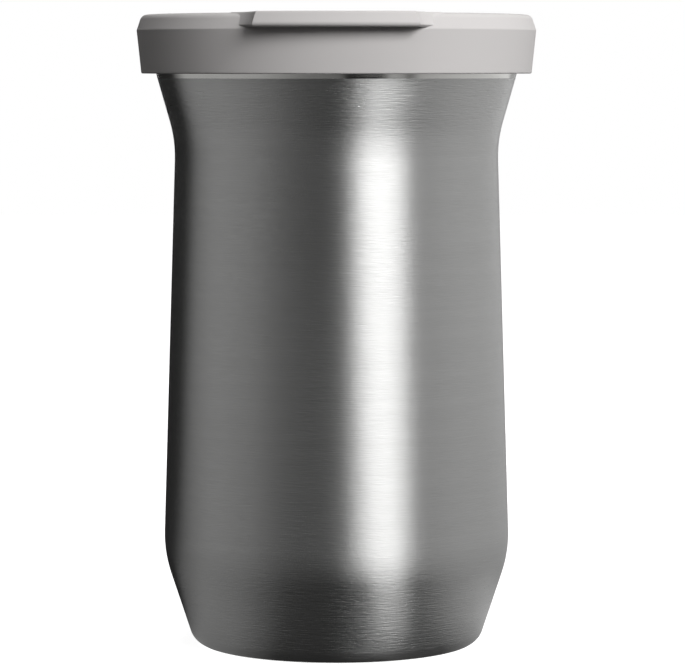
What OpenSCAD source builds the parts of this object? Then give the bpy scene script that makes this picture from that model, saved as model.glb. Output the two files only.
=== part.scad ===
// Insulated steel mate cup with a press-in lid.
// Turned about Z and standing on its foot ring at Z = 0; the lid's pull tab points along -Y.
// All sizes are in millimetres.

/* [Outer shell] */
// Height at which the shell's wall ends under the drinking lip
rim_z = 118; // [114:0.1:122]
// Outside diameter of the shell at that height
rim_d = 74; // [72.6:0.1:74.4]
// Height of the waist below the flared mouth
waist_z = 101.7; // [96:0.1:105]
// Outside diameter of the waist
waist_d = 64.7; // [62:0.1:67]
// Bend radius of the waist
waist_bend = 25; // [12:0.5:32]
// Height of the belly, where the wall turns in towards the foot
belly_z = 18.7; // [14:0.1:24]
// Outside diameter of the belly
belly_d = 69.8; // [67:0.1:73]
// Bend radius of the belly
belly_bend = 24.5; // [8:0.5:30]
// Outside diameter of the foot, measured to its unrounded corner
foot_d = 57.4; // [54:0.1:61]
// Bend radius of the foot
foot_bend = 4; // [2:0.1:5]
// Thickness of the shell's sheet
shell_wall = 0.6; // [0.4:0.05:0.9]

/* [Base] */
// Diameter of the opening that the base cap closes
base_d = 45; // [36:0.5:47]
// Depth of the recess under the cup
base_recess = 2.2; // [1.6:0.1:3]
// Thickness of the base cap's sheet
base_wall = 0.6; // [0.4:0.05:0.9]
// Diameter of the dimple around the evacuation hole
dimple_d = 13; // [10:0.5:18]
// Height of the dimple above the recess
dimple_h = 1.2; // [0.8:0.1:1.6]
// Diameter of the evacuation hole
hole_d = 1.2; // [0.8:0.1:2]
// Diameter of the bead that seals the evacuation hole
bead_d = 4.6; // [3.6:0.1:5.6]
// Thickness of that bead under the dimple
bead_h = 0.9; // [0.6:0.1:1.1]

/* [Inner liner] */
// Thickness of the liner's sheet
liner_wall = 0.5; // [0.4:0.05:0.8]
// Width of the vacuum space at the waist
vacuum_gap = 2.4; // [1.6:0.1:3.4]
// Height of the liner's floor
floor_z = 8.5; // [8:0.1:12]
// How much the liner's radius narrows from the neck to the floor
liner_draft = 0.8; // [0:0.1:2]
// Inside corner radius of the liner's floor
floor_bend = 9; // [4:0.5:14]
// How far the liner's neck lies below the shell's waist
neck_drop = 2; // [0:0.1:5]
// Bend radius of the liner's neck
neck_bend = 12; // [4:0.5:16]
// Length over which the liner lies against the shell under the lip
seam_length = 3; // [2:0.1:5]
// Diameter of the getter puck under the liner's floor
getter_d = 9; // [6:0.5:14]
// Thickness of the getter puck
getter_h = 1.2; // [0.8:0.1:1.8]

/* [Lid] */
// Widest diameter of the lid
lid_d = 80; // [79:0.1:84]
// Height of the lid from its lower edge to its top
lid_h = 11.7; // [10.5:0.1:14]
// Height of the skirt, from the lower edge to the shoulder
skirt_h = 8.6; // [7:0.1:9.4]
// Diameter at the skirt's lower edge
skirt_edge_d = 78.2; // [77.6:0.1:79]
// Diameter of the top disc, measured to its unrounded edge
lid_top_d = 77.9; // [74:0.1:78.6]
// Rounding of the top disc's edge
lid_top_bend = 1.4; // [0.6:0.1:2]
// How far the skirt reaches down past the lip
skirt_cover = 3.6; // [2.4:0.1:4.6]
// Thickness of the skirt at its lower edge
skirt_wall = 1.7; // [1.2:0.05:1.8]
// Thickness of the lid's top
lid_top_wall = 1.8; // [1.2:0.1:2.4]
// Thickness of the ring inside the lid that the plug is welded to
weld_ring_wall = 1.4; // [1:0.1:2]
// Distance from the weld ring to the skirt's bore
weld_ring_inset = 1.6; // [1:0.1:2.2]

/* [Pull tab] */
// How far the tab stands out past the lid
tab_reach = 4; // [2:0.1:7]
// Width of the tab's front face along its lower edge
tab_width = 32.2; // [24:0.1:38]
// Thickness of the tab
tab_h = 3; // [2.4:0.1:3.2]
// How far the tab's tip rises above the lid's top
tab_rise = 0.2; // [0:0.05:0.4]
// How far the tab's face leans back from its lower edge to its upper one
tab_lean = 1; // [0.4:0.1:1.6]
// Rounding of the tab's lower edge
tab_edge = 0.7; // [0.4:0.1:1]
// Rounding of the tab's upper edge
tab_top_edge = 0.4; // [0.2:0.1:0.6]
// Radius of the scallops that shape the tab's ends, at the tab's foot
scallop_r = 9.5; // [7:0.5:14]
// How far the scallops bite into the lid's chamfer
scallop_bite = 0.4; // [0.3:0.1:0.8]

/* [Plug and gasket] */
// Gap between the lip and the flange that comes down on it
seat_gap = 0.25; // [0.1:0.05:0.6]
// Thickness of the plug's flange
flange_h = 1.6; // [1.2:0.1:2]
// Gap between the flange and the skirt's bore
flange_gap = 0.15; // [0.1:0.05:0.4]
// Depth of the plug below its flange
plug_depth = 11; // [10:0.1:14]
// Thickness of the plug's wall and floor
plug_wall = 1.5; // [1.2:0.1:2]
// Rounding of the plug's lower edge
plug_bend = 2.4; // [1.6:0.1:3.4]
// Gap between the plug's wall and the liner
plug_gap = 2; // [1.6:0.05:2.6]
// Gap between the gasket's ribs and the liner
rib_gap = 0.7; // [0.4:0.05:1]
// Thickness of the ribs that hold the gasket
rib_wall = 0.9; // [0.6:0.05:1.2]
// Distance from the top of the flare down to the upper rib
rib_drop = 0.9; // [0.5:0.1:1.4]
// Width of the groove between the ribs
groove_width = 4.4; // [4:0.1:5]
// Thickness of the gasket's band
band_wall = 0.9; // [0.6:0.05:1.1]
// Width of a sealing fin at its root
fin_root = 0.9; // [0.7:0.05:1.1]
// Width of a sealing fin at its tip
fin_tip = 0.4; // [0.3:0.05:0.6]
// Gap between the fins' tips and the liner
seal_gap = 0.15; // [0.1:0.05:0.3]

/* [Hidden] */
$fn = 160;

// Curves are drawn with chords that leave the true arc by no more than this
arc_sag = 0.008;
// Small roundings where a moulding's or a sheet's edge is broken
soft_edge = 0.3;
// How far a cutter runs past what it cuts
past = 1;

steel_brushed = [0.60, 0.60, 0.59];
steel_bright = [0.74, 0.74, 0.73];
steel_dull = [0.50, 0.50, 0.49];
lid_grey = [0.76, 0.75, 0.74];
plug_grey = [0.70, 0.69, 0.68];
silicone_grey = [0.86, 0.86, 0.84];

// Plane geometry for the turned sections, whose points are [radius, height]
function unit(v) = v / norm(v);
function left_of(v) = [-v[1], v[0]];
function reversed(list) = [for (i = [len(list) - 1:-1:0]) list[i]];
function at_end(path, i) = i == 0 || i == len(path) - 1;
function turn_at(path, i) = sign(cross(path[i] - path[i - 1], path[i + 1] - path[i]));

// Points on an arc about c, from one angle through a sweep, close enough to keep the sag
function arc(c, r, from, sweep) =
    let (steps = max(2, ceil(abs(sweep) / (2 * acos(1 - arc_sag / max(r, arc_sag))))))
    [for (k = [0:steps]) c + r * [cos(from + sweep * k / steps), sin(from + sweep * k / steps)]];

// The corner q between p and s, rounded to radius r
function bend(p, q, s, r) =
    let (a = unit(p - q), b = unit(s - q), half = acos(a * b) / 2)
    r <= 0 || half > 89.9 ? [q] :
    let (c = q + unit(a + b) * r / sin(half), start = q + a * r / tan(half) - c)
    arc(c, r, atan2(start[1], start[0]), (180 - 2 * half) * sign(cross(q - p, s - q)));

// A path with each of its inner corners rounded to its own bend radius
function rounded(path, bends) = [
    for (i = [0:len(path) - 1])
        each at_end(path, i) ? [path[i]] : bend(path[i - 1], path[i], path[i + 1], bends[i])
];

// The path moved sideways by d, to the left of its direction, and the bends that stay concentric
function shifted(path, d) = [
    for (i = [0:len(path) - 1])
        let (before = max(i, 1), after = min(i, len(path) - 2))
        let (m = left_of(unit(path[before] - path[before - 1])) + left_of(unit(path[after + 1] - path[after])))
        path[i] + m * 2 * d / (m * m)
];
function shifted_bends(path, bends, d) = [
    for (i = [0:len(path) - 1]) at_end(path, i) ? 0 : max(0, bends[i] - turn_at(path, i) * d)
];

// Section of a sheet of thickness abs(d), on the left of its path, or on the right where d is negative
function sheet(path, bends, d) =
    concat(rounded(path, bends), reversed(rounded(shifted(path, d), shifted_bends(path, bends, d))));

// Outer shell: the outside of the sheet, from the turned-up edge in the base to the rim
base_r = base_d / 2;
edge_bend = shell_wall + soft_edge;
rim = [rim_d / 2, rim_z];
waist = [waist_d / 2, waist_z];
shell_path = [
    [base_r, base_recess + base_wall],
    [base_r, 0],
    [foot_d / 2, 0],
    [belly_d / 2, belly_z],
    waist,
    rim
];
shell_bends = [0, edge_bend, foot_bend, belly_bend, waist_bend, 0];

// The flared mouth: its direction up the wall, and the way from the shell's outside to the liner's inside
mouth_up = unit(rim - waist);
mouth_in = left_of(mouth_up);
lip_wall = shell_wall + liner_wall;
lip_r = lip_wall / 2;
lip_centre = rim + mouth_in * lip_r;
lip_top_z = lip_centre[1] + lip_r;

// Inner liner: the inside of the sheet, from the middle of its floor to the lip
neck = [waist[0] - shell_wall - vacuum_gap - liner_wall, waist_z - neck_drop];
seam = rim + mouth_in * lip_wall - mouth_up * seam_length;
floor_r = min(neck[0], belly_d / 2 - shell_wall - vacuum_gap - liner_wall) - liner_draft;
liner_path = [
    [0, floor_z],
    [floor_r, floor_z],
    neck,
    seam,
    rim + mouth_in * lip_wall
];
liner_bends = [0, floor_bend, neck_bend, floor_bend / 2, 0];

// Base cap: the underside of the sheet, from its turned-down edge to the evacuation hole
cap_edge_z = edge_bend / 2;
cap_edge_r = base_r - base_wall;
dimple_z = base_recess + dimple_h;
cap_path = [
    [cap_edge_r, cap_edge_z],
    [cap_edge_r, base_recess],
    [dimple_d / 2, base_recess],
    [dimple_d / 2 - dimple_h, dimple_z],
    [hole_d / 2, dimple_z]
];
cap_bends = [0, soft_edge, base_wall, base_wall / 2, 0];

// Lid: heights, the bore of its skirt, and the bore's upper end, which stays a wall's width inside the chamfer
lid_z = lip_top_z - skirt_cover;
lid_top_z = lid_z + lid_h;
shoulder = [lid_d / 2, lid_z + skirt_h];
top_edge = [lid_top_d / 2, lid_top_z];
ceiling_z = lid_top_z - lid_top_wall;
chamfer_r = lookup(ceiling_z, [reversed(shoulder), reversed(top_edge)]);
bore_r = min(skirt_edge_d, lid_d) / 2 - skirt_wall;
crown_r = min(bore_r, chamfer_r - skirt_wall);
seat_z = lip_top_z + seat_gap;
flange_z = seat_z + flange_h;
ring_r = crown_r - weld_ring_inset;
lid_path = [
    [0, ceiling_z],
    [ring_r - weld_ring_wall, ceiling_z],
    [ring_r - weld_ring_wall, flange_z],
    [ring_r, flange_z],
    [ring_r, ceiling_z],
    [crown_r, ceiling_z],
    [bore_r, flange_z],
    [bore_r, lid_z],
    [skirt_edge_d / 2, lid_z],
    shoulder,
    top_edge,
    [0, lid_top_z]
];
lid_bends = [0, soft_edge, 0, 0, soft_edge, soft_edge, 0, soft_edge, soft_edge, soft_edge, lid_top_bend, 0];

// Pull tab: its section, and the scallops that shape its ends
tab_r = lid_d / 2 + tab_reach;
tab_top_z = lid_top_z + tab_rise;
tab_z = tab_top_z - tab_h;
tab_root_r = bore_r + skirt_wall / 2;
tab_path = [
    [tab_root_r, lid_top_z - lid_top_wall / 2],
    [tab_root_r, tab_z],
    [tab_r, tab_z],
    [tab_r - tab_lean, tab_top_z],
    [ring_r, lid_top_z]
];
tab_bends = [0, 0, tab_edge, tab_top_edge, 0];
tab_half_angle = asin(tab_width / 2 / tab_r);
chamfer_lean = (shoulder[0] - top_edge[0]) / (top_edge[1] - shoulder[1]);
scallop_orbit = shoulder[0] - (tab_z - shoulder[1]) * chamfer_lean - scallop_bite + scallop_r;
scallop_angle = tab_half_angle
    + acos((pow(scallop_orbit, 2) + pow(tab_r, 2) - pow(scallop_r, 2)) / (2 * scallop_orbit * tab_r));

// The liner's flare, on which the plug and the gasket are laid out: distance down it, and distance off it
flare_up = unit(seam - neck);
function on_flare(down, off) = seam - flare_up * down + left_of(flare_up) * off;
plug_z = seat_z - plug_depth;
plug_top = on_flare(0, plug_gap);
plug_foot = plug_top - flare_up * (plug_top[1] - plug_z) / flare_up[1];
plug_inside = shifted([[0, plug_z], plug_foot, plug_top, [plug_top[0], seat_z]], plug_wall);
flange_r = bore_r - flange_gap;

// A rib stands square on the plug's wall; these are its corners on the way up the wall
function rib(down) = [
    on_flare(down + rib_wall, plug_gap),
    on_flare(down + rib_wall, rib_gap),
    on_flare(down, rib_gap),
    on_flare(down, plug_gap)
];
groove_top = rib_drop + rib_wall;
groove_foot = groove_top + groove_width;
rib_bends = [0, soft_edge, soft_edge, 0];
plug_path = concat(
    [[0, plug_z], plug_foot],
    rib(groove_foot),
    rib(rib_drop),
    [plug_top, [plug_top[0], seat_z], [flange_r, seat_z], [flange_r, flange_z], [plug_inside[3][0], flange_z]],
    [plug_inside[2], plug_inside[1], plug_inside[0]]
);
plug_bends = concat(
    [0, plug_bend],
    rib_bends,
    rib_bends,
    [soft_edge, soft_edge, soft_edge, soft_edge, soft_edge],
    [soft_edge, plug_bend - plug_wall, 0]
);

// Gasket: its band lies in the groove between the ribs, and two fins lean up towards the mouth
band_top = groove_top + seal_gap;
band_foot = groove_foot - seal_gap;
band_off = plug_gap - band_wall;
fin_pitch = (band_foot - band_top) / 2;

module outer_shell() {
    color(steel_brushed) rotate_extrude() polygon(sheet(shell_path, shell_bends, shell_wall));
}

// The liner's top edge is rolled over the shell's edge and ground round: that is the drinking lip
module inner_liner() {
    inside = rounded(liner_path, liner_bends);
    outside = rounded(shifted(liner_path, -liner_wall), shifted_bends(liner_path, liner_bends, -liner_wall));
    lip = arc(lip_centre, lip_r, atan2(mouth_in[1], mouth_in[0]), -180);
    lip_over = [for (i = [1:len(lip) - 1]) lip[i]];
    color(steel_bright) rotate_extrude() polygon(concat(inside, lip_over, reversed(outside)));
}

module base_cap() {
    color(steel_dull) rotate_extrude() polygon(sheet(cap_path, cap_bends, -base_wall));
}

// A drop of solder glass that fills the evacuation hole and lies under the dimple
module seal_bead() {
    drop = bend([bead_d / 2, dimple_z], [bead_d / 2, dimple_z - bead_h], [0, dimple_z - bead_h], bead_h * 0.9);
    hole_top = [[0, dimple_z + base_wall], [hole_d / 2, dimple_z + base_wall], [hole_d / 2, dimple_z]];
    color("dimgray")
        rotate_extrude() polygon(concat(hole_top, [[bead_d / 2, dimple_z]], drop, [[0, dimple_z - bead_h]]));
}

module getter() {
    color("gray") translate([0, 0, floor_z - liner_wall - getter_h]) cylinder(d = getter_d, h = getter_h);
}

// Cuts one end of the tab. The cutter widens upwards as the lid's chamfer narrows, and it flares at foot and
// brim, where it breaks the tab's edges by a share of their own rounding
module scallop() {
    function wall(z) = [scallop_r + (z - tab_z) * chamfer_lean, z];
    share = 0.6;
    foot = wall(tab_z + tab_edge * share);
    brim = wall(tab_top_z - tab_top_edge * share);
    foot_flare = foot[1] - tab_z + past;
    brim_flare = tab_top_z + past - brim[1];
    rotate_extrude() polygon([
        [0, tab_z - past],
        foot + [foot_flare, -foot_flare],
        foot,
        brim,
        brim + [brim_flare, brim_flare],
        [0, tab_top_z + past]
    ]);
}

module pull_tab() {
    half_width = scallop_orbit * sin(scallop_angle);
    depth = scallop_orbit * cos(scallop_angle);
    front = max(tab_r, depth) + past;
    difference() {
        intersection() {
            rotate_extrude() polygon(rounded(tab_path, tab_bends));
            translate([0, 0, tab_z - past]) linear_extrude(tab_h + 2 * past) polygon([
                [0, 0], [-half_width, -depth], [-half_width, -front], [half_width, -front], [half_width, -depth]
            ]);
        }
        for (side = [-1, 1])
            rotate([0, 0, side * scallop_angle]) translate([0, -scallop_orbit, 0]) scallop();
    }
}

// Top, chamfered edge, skirt, pull tab and weld ring are one moulding
module lid_cap() {
    color(lid_grey) union() {
        rotate_extrude() polygon(rounded(lid_path, lid_bends));
        pull_tab();
    }
}

module lid_plug() {
    color(plug_grey) rotate_extrude() polygon(rounded(plug_path, plug_bends));
}

// One fin of the gasket, at a distance down the flare, leaning up by its own root's width
function fin(down) = [
    on_flare(down - fin_root / 2, band_off),
    on_flare(down - fin_root / 2 - fin_tip, seal_gap),
    on_flare(down - fin_root / 2, seal_gap),
    on_flare(down + fin_root / 2, band_off)
];

module lid_gasket() {
    color(silicone_grey) rotate_extrude() polygon(concat(
        [on_flare(band_top, plug_gap), on_flare(band_top, band_off)],
        fin(band_top + fin_pitch * 0.6),
        fin(band_foot - fin_pitch * 0.4),
        [on_flare(band_foot, band_off), on_flare(band_foot, plug_gap)]
    ));
}

outer_shell();
inner_liner();
base_cap();
seal_bead();
getter();
lid_cap();
lid_plug();
lid_gasket();
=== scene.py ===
"""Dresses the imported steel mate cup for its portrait: turned sheet steel, a moulded lid and a silicone seal.

The sizes of the turned pieces are in millimetres, and become metres where the meshes are made. Those of
the materials, the studio and the camera are in metres.
"""
import math

import bpy
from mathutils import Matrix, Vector


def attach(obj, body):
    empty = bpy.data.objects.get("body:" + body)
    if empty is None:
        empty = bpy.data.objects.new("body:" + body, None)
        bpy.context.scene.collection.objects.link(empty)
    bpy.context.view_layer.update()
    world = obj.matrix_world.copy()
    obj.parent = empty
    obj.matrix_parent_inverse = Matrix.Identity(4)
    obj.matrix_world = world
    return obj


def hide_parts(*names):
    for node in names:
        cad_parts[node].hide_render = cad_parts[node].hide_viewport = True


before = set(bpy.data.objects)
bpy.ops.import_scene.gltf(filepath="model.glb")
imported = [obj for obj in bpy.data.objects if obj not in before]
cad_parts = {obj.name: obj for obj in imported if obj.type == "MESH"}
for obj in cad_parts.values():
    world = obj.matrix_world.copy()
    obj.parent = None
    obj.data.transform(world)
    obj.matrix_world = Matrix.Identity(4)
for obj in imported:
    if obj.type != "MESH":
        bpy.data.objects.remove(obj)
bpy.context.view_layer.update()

# ---------------------------------------------------------------- outer shell
# The real shell is one sheet of 18/8 stainless steel, spun to its flared mouth and tapering foot,
# brushed round on a lathe, and polished bright for the last few millimetres under the lip.
CHORD = math.radians(3)
STRAIGHT = math.radians(89.9)
SHARP_FROM = math.radians(38)
TINY = 1e-6
PER_METRE = 1000


def corner_arc(before, corner, after, radius):
    """The points that round one corner of a turned section, a chord every three degrees."""
    a, b = (before - corner).normalized(), (after - corner).normalized()
    half = math.acos(max(-1.0, min(1.0, a.dot(b)))) / 2
    if radius <= 0 or half > STRAIGHT:
        return [corner]
    centre = corner + (a + b).normalized() * radius / math.sin(half)
    start = corner + a * radius / math.tan(half) - centre
    side = 1 if (corner - before).cross(after - corner) > 0 else -1
    sweep = side * (math.pi - 2 * half)
    steps = max(2, math.ceil(abs(sweep) / CHORD))
    points = []
    for turn in (sweep * k / steps for k in range(steps + 1)):
        c, s = math.cos(turn), math.sin(turn)
        points.append(centre + Vector((start.x * c - start.y * s, start.x * s + start.y * c)))
    return points


def rounded(path, bends):
    """A path of (radius, height) corners, with each inner corner rounded to its own bend."""
    path = [Vector(p) for p in path]
    points = [path[0]]
    for i in range(1, len(path) - 1):
        points += corner_arc(path[i - 1], path[i], path[i + 1], bends[i])
    return points + [path[-1]]


def shifted(path, bends, d):
    """The path moved d to the left of its direction, and the bends that stay concentric."""
    path = [Vector(p) for p in path]
    lefts = [(q - p).normalized().orthogonal() for p, q in zip(path, path[1:])]
    moved, radii = [], []
    for i, p in enumerate(path):
        before, after = lefts[max(i - 1, 0)], lefts[min(i, len(lefts) - 1)]
        m = before + after
        moved.append(p + m * (2 * d / m.dot(m)))
        turn = before.cross(after)
        radii.append(max(0.0, bends[i] - (turn > 0) * d + (turn < 0) * d))
    return moved, radii


def turned(name, outline, step=1.2, around=288):
    """A closed section turned about Z. Long straights are cut every step, so that highlights run true."""
    ring = []
    for p, q in zip(outline, outline[1:] + outline[:1]):
        on_axis = p.x < TINY and q.x < TINY
        parts = 1 if on_axis else max(1, math.ceil((q - p).length / step))
        ring += [p.lerp(q, k / parts) for k in range(parts) if (q - p).length > TINY]
    verts, rows = [], []
    for p in ring:
        if p.x < TINY:
            rows.append([len(verts)] * around)
            verts.append((0.0, 0.0, p.y / PER_METRE))
        else:
            rows.append(range(len(verts), len(verts) + around))
            for k in range(around):
                a = 2 * math.pi * k / around
                verts.append((p.x * math.cos(a) / PER_METRE, p.x * math.sin(a) / PER_METRE, p.y / PER_METRE))
    faces = []
    for low, high in zip(rows, rows[1:] + rows[:1]):
        for k in range(around):
            n = (k + 1) % around
            loop = list(dict.fromkeys((low[k], high[k], high[n], low[n])))
            if len(loop) > 2:
                faces.append(loop)
    mesh = bpy.data.meshes.new(name)
    mesh.from_pydata(verts, [], faces)
    mesh.shade_smooth()
    mesh.set_sharp_from_angle(angle=SHARP_FROM)
    piece = bpy.data.objects.new(name, mesh)
    bpy.context.collection.objects.link(piece)
    return piece


# The corners of the outside, as (radius, height), from the inner edge of the foot round and up to the mouth.
SHELL_WALL = 0.6
SHELL_PATH = [(22.5, 2.8), (22.5, 0), (28.7, 0), (34.9, 18.7), (32.35, 101.7), (37, 118)]
SHELL_BENDS = [0, 0.9, 4, 24.5, 25, 0]
POLISH_Z = 114.2

outside = rounded(SHELL_PATH, SHELL_BENDS)
waist_end = outside[-2]
mouth_run = (outside[-1] - waist_end).normalized()
outside.insert(-1, waist_end + mouth_run * (POLISH_Z - waist_end.y) / mouth_run.y)
inside, inside_bends = shifted(SHELL_PATH, SHELL_BENDS, SHELL_WALL)
shell = turned("shell", outside + rounded(inside, inside_bends)[::-1])


def colour(text):
    """An sRGB hex value as the linear colour that the shader's sockets take."""
    parts = [int(text[i : i + 2], 16) / 255 for i in (1, 3, 5)]
    return tuple(c / 12.92 if c <= 0.04045 else ((c + 0.055) / 1.055) ** 2.4 for c in parts) + (1.0,)


def add(tree, kind, settings, links=None):
    """Adds one node, with its settings and the outputs that feed its inputs."""
    node = tree.nodes.new(kind)
    for key, value in settings.items():
        if isinstance(key, int) or key in node.inputs:
            node.inputs[key].default_value = value
        else:
            setattr(node, key, value)
    for key, output in (links or {}).items():
        tree.links.new(output, node.inputs[key])
    return node


def blank(name):
    """A material with an empty node tree."""
    made = bpy.data.materials.new(name)
    made.use_nodes = True
    made.node_tree.nodes.clear()
    return made, made.node_tree


def noise(tree, scale, detail, roughness=0.5):
    """A noise fixed to the piece, its scale one number or one for each axis."""
    place = add(tree, "ShaderNodeTexCoord", {}).outputs["Object"]
    if isinstance(scale, tuple):
        place = add(tree, "ShaderNodeMapping", {"Scale": scale}, {"Vector": place}).outputs["Vector"]
        scale = 1.0
    settings = {"Scale": scale, "Detail": detail, "Roughness": roughness}
    return add(tree, "ShaderNodeTexNoise", settings, {"Vector": place}).outputs["Fac"]


def spread(tree, pattern, low, high):
    """A value that follows the middle of a noise's range from low to high."""
    span = {"From Min": 0.3, "From Max": 0.7, "To Min": low, "To Max": high}
    return add(tree, "ShaderNodeMapRange", span, {"Value": pattern}).outputs["Result"]


def mottled(tree, pattern, dark, light):
    """A colour that follows a pattern from one sRGB hex value to another."""
    ends = {"data_type": "RGBA", 6: colour(dark), 7: colour(light)}
    return add(tree, "ShaderNodeMix", ends, {0: pattern}).outputs[2]


def surface(tree, settings, links):
    """The material's own shader, joined to its output."""
    shader = add(tree, "ShaderNodeBsdfPrincipled", settings, links)
    add(tree, "ShaderNodeOutputMaterial", {}, {"Surface": shader.outputs["BSDF"]})


# Brushed 18/8 steel: the belt leaves fine scratches round the cup, so lights smear up and down
# and stay crisp from side to side. The real scratches are about 0.05 mm wide, too fine to show,
# so they are drawn 0.25 mm wide and 3 mm long, with a broader unevenness of 1.4 mm over them.
# On the slanted foot and mouth the belt rides on its edge: the smear is tighter and the scratches
# are deeper, deepest on the foot. Each slant comes in between two heights.
FOOT_START, FOOT_FULL = 0.020, 0.014
MOUTH_START, MOUTH_FULL, MOUTH_SHARE = 0.100, 0.107, 0.6
TIGHTER = 0.72
DEPTH_WALL, DEPTH_FOOT = 0.00005, 0.00014

brushed, tree = blank("stainless_brushed")
fine = noise(tree, (320, 320, 4000), 3.0, 0.6)
broad = noise(tree, (22, 22, 700), 2.0)
place = add(tree, "ShaderNodeTexCoord", {})
height = add(tree, "ShaderNodeSeparateXYZ", {}, {"Vector": place.outputs["Object"]})
foot = add(
    tree, "ShaderNodeMapRange", {"From Min": FOOT_START, "From Max": FOOT_FULL},
    {"Value": height.outputs["Z"]},
)
mouth_slant = add(
    tree, "ShaderNodeMapRange", {"From Min": MOUTH_START, "From Max": MOUTH_FULL, "To Max": MOUTH_SHARE},
    {"Value": height.outputs["Z"]},
)
slanted = add(
    tree, "ShaderNodeMath", {"operation": "MAXIMUM"},
    {0: foot.outputs["Result"], 1: mouth_slant.outputs["Result"]},
)
smear = add(
    tree, "ShaderNodeMapRange", {"From Max": MOUTH_SHARE, "To Min": 1.0, "To Max": TIGHTER},
    {"Value": slanted.outputs[0]},
)
gloss = add(
    tree, "ShaderNodeMath", {"operation": "MULTIPLY"},
    {0: spread(tree, fine, 0.38, 0.46), 1: smear.outputs["Result"]},
)
depth = add(
    tree, "ShaderNodeMapRange", {"To Min": DEPTH_WALL, "To Max": DEPTH_FOOT}, {"Value": slanted.outputs[0]}
)
scratches = add(
    tree, "ShaderNodeBump", {"Strength": 0.8}, {"Height": fine, "Distance": depth.outputs["Result"]}
)
unevenness = add(
    tree, "ShaderNodeBump", {"Strength": 0.3, "Distance": 0.00005},
    {"Height": broad, "Normal": scratches.outputs["Normal"]},
)
around_axis = add(tree, "ShaderNodeTangent", {"direction_type": "RADIAL", "axis": "Z"})
surface(
    tree, {"Metallic": 1.0, "Anisotropic": 0.9, "Anisotropic Rotation": 0.25},
    {
        "Base Color": mottled(tree, broad, "#cbcbca", "#d3d3d2"), "Roughness": gloss.outputs[0],
        "Normal": unevenness.outputs["Normal"], "Tangent": around_axis.outputs["Tangent"],
    },
)

# Polished 18/8 steel: buffed after the brushing, so the edge under the lip mirrors the room,
# with only the faint haze of the buffing wheel, drawn as marks 0.4 mm wide and 11 mm long.
polished, tree = blank("stainless_polished")
buff = noise(tree, (90, 90, 2500), 2.0)
surface(
    tree, {"Metallic": 1.0, "Base Color": colour("#d4d3d0")}, {"Roughness": spread(tree, buff, 0.10, 0.17)}
)


def polish_mouth(piece, lower):
    """Gives a turned piece one finish below POLISH_Z and the polish above it."""
    piece.data.materials.append(lower)
    piece.data.materials.append(polished)
    for face in piece.data.polygons:
        face.material_index = int(face.center.z * PER_METRE > POLISH_Z)


polish_mouth(shell, brushed)
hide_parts("outer_shell")
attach(shell, "cup")

# ---------------------------------------------------------------- base cap, its seal and the getter
# The base is closed by a pressed stainless disc, welded in a little above the foot. A drop of solder
# glass seals the hole through which the air was drawn, and a getter puck lies out of sight above it.


def sheet(path, bends, thickness):
    """The closed section of a sheet that lies on the left of its path."""
    other, other_bends = shifted(path, bends, thickness)
    return rounded(path, bends) + rounded(other, other_bends)[::-1]


BASE_WALL = 0.6
CAP_PATH = [(21.9, 0.45), (21.9, 2.2), (6.5, 2.2), (5.3, 3.4), (0.6, 3.4)]
CAP_BENDS = [0, 0.3, 0.6, 0.3, 0]
cap = turned("base_disc", sheet(CAP_PATH, CAP_BENDS, -BASE_WALL), step=1.0)

# Pressed 18/8 steel: the mill finish of the sheet, dull, with faint rings from the press tool
# about 1.2 mm apart and a little unevenness, so it reads darker and softer than the wall.
pressed, tree = blank("stainless_pressed")
place = add(tree, "ShaderNodeTexCoord", {})
rings = add(
    tree, "ShaderNodeTexWave",
    {
        "wave_type": "RINGS", "rings_direction": "Z", "Scale": 260.0,
        "Distortion": 1.2, "Detail": 1.0, "Detail Scale": 1.5,
    },
    {"Vector": place.outputs["Object"]},
)
tooling = add(
    tree, "ShaderNodeBump", {"Strength": 0.25, "Distance": 0.00003}, {"Height": rings.outputs["Fac"]}
)
clouds = noise(tree, 180.0, 3.0)
surface(
    tree, {"Metallic": 1.0, "Base Color": colour("#b9b8b5")},
    {"Roughness": spread(tree, clouds, 0.38, 0.5), "Normal": tooling.outputs["Normal"]},
)
cap.data.materials.append(pressed)
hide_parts("base_cap")
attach(cap, "cup")


def dress(solid, material):
    """Gives a solid of the frame its material, in place of the plain one it came with."""
    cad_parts[solid].data.materials.clear()
    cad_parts[solid].data.materials.append(material)


# Solder glass: fired in the hole, nearly black, with the skin of something that has been liquid.
solder, tree = blank("solder_glass_fired")
ripple = noise(tree, 900.0, 2.0)
skin = add(tree, "ShaderNodeBump", {"Strength": 0.3, "Distance": 0.00005}, {"Height": ripple})
surface(
    tree, {"Roughness": 0.22, "IOR": 1.7},
    {"Base Color": mottled(tree, ripple, "#2c2a27", "#3d3932"), "Normal": skin.outputs["Normal"]},
)
dress("seal_bead", solder)

# Getter alloy: a sintered powder puck, matt and dark grey. Its grains are drawn coarse, at 0.4 mm.
getter, tree = blank("getter_sintered")
grit = noise(tree, 2500.0, 2.0)
surface(tree, {"Metallic": 1.0, "Roughness": 0.7}, {"Base Color": mottled(tree, grit, "#55534f", "#72706b")})
dress("getter", getter)

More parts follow.
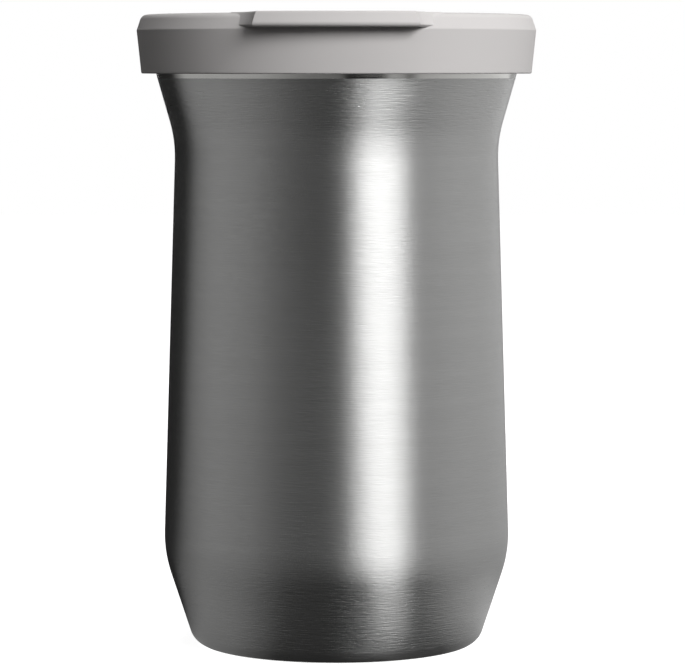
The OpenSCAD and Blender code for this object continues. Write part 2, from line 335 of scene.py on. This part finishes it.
# ---------------------------------------------------------------- inner liner
# A second stainless cup hangs in the first by its mouth. Its edge is rolled over the shell's edge,
# welded and ground round, and that is the lip one drinks from.
LINER_WALL = 0.5
LIP_R = (SHELL_WALL + LINER_WALL) / 2
LIP_STEPS = 24
rim = Vector(SHELL_PATH[-1])
up = (rim - Vector(SHELL_PATH[-2])).normalized()
inward = Vector((-up.y, up.x))
lip_centre = rim + inward * LIP_R
mouth = rim + inward * 2 * LIP_R
LINER_PATH = [(0, 8.5), (28.05, 8.5), (28.85, 99.7), tuple(mouth - up * 3), tuple(mouth)]
LINER_BENDS = [0, 9, 12, 4.5, 0]
lip = [
    lip_centre + inward * LIP_R * math.cos(t) + up * LIP_R * math.sin(t)
    for t in (math.pi * k / LIP_STEPS for k in range(1, LIP_STEPS + 1))
]
drink_side = rounded(LINER_PATH, LINER_BENDS)
vacuum_path, vacuum_bends = shifted(LINER_PATH, LINER_BENDS, -LINER_WALL)
vacuum_side = rounded(vacuum_path, vacuum_bends)
liner = turned("liner", drink_side + lip + vacuum_side[::-1], step=1.4)

# Satin 18/8 steel: drawn and then electropolished, so the inside has a soft even sheen
# and only faint draw marks running up the wall, finer in reality than the 1 mm of the drawn ones.
satin, tree = blank("stainless_satin")
place = add(tree, "ShaderNodeTexCoord", {})
flat = add(tree, "ShaderNodeMapping", {"Scale": (1, 1, 0)}, {"Vector": place.outputs["Object"]})
direction = add(tree, "ShaderNodeVectorMath", {"operation": "NORMALIZE"}, {0: flat.outputs["Vector"]})
draw = add(
    tree, "ShaderNodeTexNoise", {"Scale": 28.0, "Detail": 2.0}, {"Vector": direction.outputs["Vector"]}
)
marks = add(tree, "ShaderNodeBump", {"Strength": 0.1, "Distance": 0.00004}, {"Height": draw.outputs["Fac"]})
surface(
    tree, {"Metallic": 1.0, "Base Color": colour("#cccbc8")},
    {"Roughness": spread(tree, draw.outputs["Fac"], 0.27, 0.35), "Normal": marks.outputs["Normal"]},
)
polish_mouth(liner, satin)
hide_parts("inner_liner")
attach(liner, "cup")

# ---------------------------------------------------------------- lid
# The lid is one polypropylene moulding: a flat top with a chamfered edge, a skirt that covers the lip,
# and at the front a scalloped tab to pull it off by. It is moulded in a light warm grey.

# Moulded polypropylene: the steel of the mould is lightly spark-eroded, which leaves a fine matt grain.
# The real grain is about 0.05 mm, too fine to show, so it is drawn at 0.35 mm and very shallow. The
# edges are shaded as if rounded by a quarter of a millimetre, for a moulding catches its lights there.
EDGE_BREAK = 0.00025
matt_pp, tree = blank("polypropylene_matt")
grain = noise(tree, 2800.0, 2.0)
flow = noise(tree, 45.0, 1.0)
soft_edges = add(tree, "ShaderNodeBevel", {"samples": 8, "Radius": EDGE_BREAK})
eroded = add(
    tree, "ShaderNodeBump", {"Strength": 0.12, "Distance": 0.00004},
    {"Height": grain, "Normal": soft_edges.outputs["Normal"]},
)
surface(
    tree, {"IOR": 1.49},
    {
        "Base Color": mottled(tree, flow, "#c7c4c3", "#cac7c6"), "Roughness": spread(tree, grain, 0.7, 0.8),
        "Normal": eroded.outputs["Normal"],
    },
)
dress("lid_cap", matt_pp)

# ---------------------------------------------------------------- plug
# Under the lid a hollow plug goes down into the mouth. It is a second moulding of the same plastic,
# welded to the ring inside the lid, with two ribs that hold the seal.

# Plain polypropylene: this half is moulded against smooth steel and never seen from outside, so it
# keeps a soft gloss.
gloss_pp, tree = blank("polypropylene_plain")
flow = noise(tree, 70.0, 2.0)
surface(
    tree, {"IOR": 1.49},
    {"Base Color": mottled(tree, flow, "#bfbcba", "#c6c3c1"), "Roughness": spread(tree, flow, 0.3, 0.38)},
)
dress("lid_plug", gloss_pp)

# ---------------------------------------------------------------- gasket
# A band of silicone rubber lies in the groove between the ribs, with two thin fins that
# bend against the steel.

# Milky silicone: a soft white rubber that lets a little light through its fins, dulled by a bloom.
silicone, tree = blank("silicone_milky")
bloom = noise(tree, 400.0, 2.0)
surface(
    tree, {"IOR": 1.41, "Subsurface Weight": 0.25, "Subsurface Scale": 0.001},
    {"Base Color": mottled(tree, bloom, "#dddcd6", "#e6e5e0"), "Roughness": spread(tree, bloom, 0.4, 0.55)},
)
dress("lid_gasket", silicone)

# ---------------------------------------------------------------- studio
# A pale table in a pale room. One broad softbox to the right of the camera is the light that the steel
# mirrors, and four smaller ones and a round one overhead light the plastic. For the steel, grey cards
# that the camera doesn't see stand round the cup and lie on the table.
BEHIND = 0.02
NO_FADE = (2.0, 3.0)


def card(name, verts, faces, hidden=True):
    """A flat thing of the studio, which the camera doesn't see if hidden."""
    mesh = bpy.data.meshes.new(name)
    mesh.from_pydata(verts, [], faces)
    piece = bpy.data.objects.new(name, mesh)
    bpy.context.collection.objects.link(piece)
    piece.visible_camera = not hidden
    return piece


def by_azimuth(name, tones, fade=NO_FADE):
    """A card's own light, which changes with the direction from the cup, in degrees to the right of the
    lens, is nearly black straight behind the cup, and fades to a tenth between two heights."""
    made, tree = blank(name)
    place = add(tree, "ShaderNodeTexCoord", {})
    axes = add(tree, "ShaderNodeSeparateXYZ", {}, {"Vector": place.outputs["Object"]})
    to_lens = add(tree, "ShaderNodeMath", {"operation": "MULTIPLY", 1: -1.0}, {0: axes.outputs["Y"]})
    angle = add(
        tree, "ShaderNodeMath", {"operation": "ARCTAN2"}, {0: axes.outputs["X"], 1: to_lens.outputs[0]}
    )
    turn = add(
        tree, "ShaderNodeMapRange", {"From Min": -math.pi, "From Max": math.pi}, {"Value": angle.outputs[0]}
    )
    ramp = add(tree, "ShaderNodeValToRGB", {}, {"Fac": turn.outputs["Result"]})
    stops = ramp.color_ramp.elements
    for end in stops:
        end.color = (BEHIND, BEHIND, BEHIND, 1)
    for degrees, tone in tones:
        stops.new((degrees + 180) / 360).color = (tone, tone, tone, 1)
    high = add(
        tree, "ShaderNodeMapRange", {"From Min": fade[0], "From Max": fade[1], "To Min": 1.0, "To Max": 0.1},
        {"Value": axes.outputs["Z"]},
    )
    glow = add(
        tree, "ShaderNodeEmission", {}, {"Color": ramp.outputs["Color"], "Strength": high.outputs["Result"]}
    )
    add(tree, "ShaderNodeOutputMaterial", {}, {"Surface": glow.outputs["Emission"]})
    return made


def looked_at(tree, path):
    """1 for rays of the camera, of a mirror image and through glass, and 0 for light that spreads."""
    seen = add(
        tree, "ShaderNodeMath", {"operation": "MAXIMUM"},
        {0: path.outputs["Is Camera Ray"], 1: path.outputs["Is Glossy Ray"]},
    )
    through = add(
        tree, "ShaderNodeMath", {"operation": "MAXIMUM"},
        {0: seen.outputs[0], 1: path.outputs["Is Transmission Ray"]},
    )
    return through.outputs[0]


# White laminate: a matt table top, nearly white to the eye and in every mirror image, for it has a light
# of its own. That light is a tenth weaker close to the cup, a painted shade round the foot. For light that
# spreads it is dark, so that it doesn't brighten the skirt and the tab from below.
TABLE_CORNERS = [(-2, -2, 0), (2, -2, 0), (2, 2, 0), (-2, 2, 0)]
SHADE_NEAR, SHADE_FAR = 0.08, 0.35
floor = card("table", TABLE_CORNERS, [(0, 1, 2, 3)], hidden=False)
laminate, tree = blank("laminate_white")
path = add(tree, "ShaderNodeLightPath", {})
place = add(tree, "ShaderNodeTexCoord", {})
away = add(tree, "ShaderNodeVectorMath", {"operation": "LENGTH"}, {0: place.outputs["Object"]})
# Painted shade: the table's own light is 0.9 within SHADE_NEAR of the cup and rises to full at SHADE_FAR.
level = add(
    tree, "ShaderNodeMapRange", {"From Min": SHADE_NEAR, "From Max": SHADE_FAR, "To Min": 0.9, "To Max": 1.0},
    {"Value": away.outputs["Value"]},
)
lift_with_painted_shade = add(
    tree, "ShaderNodeMath", {"operation": "MULTIPLY"}, {0: looked_at(tree, path), 1: level.outputs["Result"]}
)
bounce = mottled(tree, path.outputs["Is Diffuse Ray"], "#cfcfcf", "#3c3c3c")
pale = add(tree, "ShaderNodeBsdfDiffuse", {}, {"Color": bounce})
own = add(tree, "ShaderNodeEmission", {}, {"Strength": lift_with_painted_shade.outputs[0]})
both = add(tree, "ShaderNodeAddShader", {}, {0: pale.outputs[0], 1: own.outputs[0]})
add(tree, "ShaderNodeOutputMaterial", {}, {"Surface": both.outputs[0]})
floor.data.materials.append(laminate)

# The grey screen: a dome round the cup, open for 20 degrees behind it, which the upright wall mirrors.
# Its tones are pairs of degrees and brightness, like those of the mats.
SCREEN_RADIUS, SCREEN_ROWS, SCREEN_STEP, SCREEN_GAP = 1.6, 12, 4, 10
SCREEN_FADE = (0.7, 1.2)
screen_tones = [
    (-128, 0.02), (-113, 0.27), (-95, 0.45), (-60, 0.40), (-38, 0.22), (-15, 0.15), (8, 0.11), (50, 0.46),
    (75, 0.69), (95, 0.69), (115, 0.62), (150, 0.59), (160, 0.59), (170, 0.10),
]
verts, faces = [], []
spans = [math.radians(d) for d in range(-180 + SCREEN_GAP, 181 - SCREEN_GAP, SCREEN_STEP)]
for row in range(SCREEN_ROWS + 1):
    rise = math.radians(90 * row / SCREEN_ROWS)
    reach = SCREEN_RADIUS * math.cos(rise)
    verts += [(reach * math.sin(a), -reach * math.cos(a), SCREEN_RADIUS * math.sin(rise)) for a in spans]
n = len(spans)
for i in range(SCREEN_ROWS):
    faces += [(i * n + k, i * n + k + 1, (i + 1) * n + k + 1, (i + 1) * n + k) for k in range(n - 1)]
screen = card("grey_screen", verts, faces)
screen.data.materials.append(by_azimuth("card_grey", screen_tones, fade=SCREEN_FADE))
screen.visible_diffuse = False

# The mats: rings of card on the table, one round the other. The slanted foot mirrors the two inner ones,
# the bend above it the middle one and the slanted mouth the outer one. The polished edge mirrors the
# band, which lies over the outer one.
MAT_STEP = 5
MAT_LEVEL, BAND_LEVEL = 0.0004, 0.0006
foot_tones = [
    (-128, 0.02), (-110, 0.13), (-80, 0.24), (-50, 0.17), (-25, 0.03), (16, 0.02), (24, 0.05), (48, 0.05),
    (70, 0.22), (100, 0.42), (150, 0.46),
]
near_tones = [
    (-126, 0.02), (-108, 0.13), (-80, 0.25), (-50, 0.18), (-25, 0.035), (16, 0.02), (21, 0.40), (32, 0.40),
    (39, 0.05), (70, 0.33), (100, 0.5), (150, 0.5),
]
middle_tones = [
    (-126, 0.02), (-108, 0.14), (-80, 0.20), (-50, 0.14), (-20, 0.04), (14, 0.02), (23, 1.15), (31, 1.15),
    (38, 0.05), (60, 0.2), (100, 0.28), (160, 0.36),
]
outer_tones = [
    (-128, 0.02), (-112, 0.22), (-80, 0.22), (-50, 0.12), (-20, 0.04), (12, 0.02), (23, 1.1), (38, 1.1),
    (46, 0.15), (60, 0.25), (100, 0.36), (160, 0.4),
]
band_tones = [
    (-128, 0.02), (-112, 0.46), (-80, 0.50), (-50, 0.44), (-20, 0.24), (3, 0.16), (7, 0.02), (29, 0.02),
    (34, 0.36), (42, 0.34), (47, 0.10), (54, 0.50), (100, 0.68), (135, 0.9), (160, 1.1),
]


def circle(angle):
    """The radius of a round mat, whose edges are given in metres."""
    return 1.0


def mirrored_band(angle):
    """How far from the cup the polished edge mirrors the table, by the direction from the lens."""
    return 0.2206 + 0.021 * angle**2 + 0.0075 * angle**4


def mat(name, edges, level, tones, radius=circle):
    """A ring of card on the table round the cup, between two shares of a radius."""
    angles = [math.radians(d) for d in range(-180, 180, MAT_STEP)]
    reaches = [(share * radius(a), a) for share in edges for a in angles]
    verts = [(reach * math.sin(a), -reach * math.cos(a), level) for reach, a in reaches]
    n = len(angles)
    ring = card(name, verts, [(k, (k + 1) % n, (k + 1) % n + n, k + n) for k in range(n)])
    ring.data.materials.append(by_azimuth(name + "_grey", tones))
    ring.visible_diffuse = ring.visible_shadow = False


mat("foot_mat", (0.026, 0.036), MAT_LEVEL, foot_tones)
mat("near_mat", (0.036, 0.06), MAT_LEVEL, near_tones)
mat("middle_mat", (0.06, 0.15), MAT_LEVEL, middle_tones)
mat("outer_mat", (0.15, 1.55), MAT_LEVEL, outer_tones)
mat("band_mat", (0.87, 1.17), BAND_LEVEL, band_tones, mirrored_band)

# The lamps. Each fill has its degrees, its height and its brightness.
LAMP_DISTANCE, AIM_HEIGHT = 1.3, 0.1
FILL_SIZE = (0.6, 0.6)
FILLS = [(-110, 0.5, 0.8), (-15, 0.8, 1.2), (33, 0.75, 7.4), (100, 0.55, 5.2)]
OVERHEAD_SIZE, OVERHEAD_HEIGHT, OVERHEAD_RADIANCE = 0.7, 1.3, 3.9


def softbox(name, size, degrees, height, radiance, mirrored=True):
    """A soft lamp aimed at the cup, its direction in degrees to the right of the lens."""
    light = bpy.data.lights.new(name, "AREA")
    light.shape = "RECTANGLE"
    light.size, light.size_y = size
    light.energy = radiance * math.pi * light.size * light.size_y
    lamp = bpy.data.objects.new(name, light)
    lamp.visible_camera = False
    lamp.visible_glossy = mirrored
    bpy.context.collection.objects.link(lamp)
    a = math.radians(degrees)
    lamp.location = (LAMP_DISTANCE * math.sin(a), -LAMP_DISTANCE * math.cos(a), height)
    lamp.rotation_euler = (math.atan2(LAMP_DISTANCE, height - AIM_HEIGHT), 0, a)


softbox("key", (0.90, 0.72), degrees=31.8, height=0.72, radiance=5.6)
for degrees, height, radiance in FILLS:
    softbox("fill", FILL_SIZE, degrees, height, radiance, mirrored=False)
overhead = bpy.data.lights.new("overhead", "AREA")
overhead.shape, overhead.size = "DISK", OVERHEAD_SIZE
overhead.energy = OVERHEAD_RADIANCE * math.pi * math.pi * (OVERHEAD_SIZE / 2) ** 2
lamp = bpy.data.objects.new("overhead", overhead)
lamp.visible_camera = False
bpy.context.collection.objects.link(lamp)
lamp.location = (0, 0, OVERHEAD_HEIGHT)

# The room: white to the eye and in every mirror image, and nearly dark for light that spreads.
ROOM_FILL = 0.03
world = bpy.data.worlds.new("pale_room")
world.use_nodes = True
bpy.context.scene.world = world
tree = world.node_tree
tree.nodes.clear()
path = add(tree, "ShaderNodeLightPath", {})
level = add(
    tree, "ShaderNodeMapRange", {"To Min": ROOM_FILL, "To Max": 1.0}, {"Value": looked_at(tree, path)}
)
room = add(tree, "ShaderNodeBackground", {"Color": colour("#ffffff")}, {"Strength": level.outputs["Result"]})
add(tree, "ShaderNodeOutputWorld", {}, {"Surface": room.outputs[0]})

bpy.context.scene.view_settings.view_transform = "Standard"

# ---------------------------------------------------------------- camera
# A long lens at lip height, 0.7 m from the cup and looking a little down, with the tab towards it.
SENSOR_MM, LENS_MM = 36, 181.35
TILT_DOWN = 0.0780
lens = bpy.data.cameras.new("camera")
lens.sensor_width, lens.lens = SENSOR_MM, LENS_MM
camera = bpy.data.objects.new("camera", lens)
bpy.context.collection.objects.link(camera)
camera.location = (0.001214, -0.6944, 0.11664)
camera.rotation_euler = (math.pi / 2 - TILT_DOWN, 0, 0)
bpy.context.scene.camera = camera
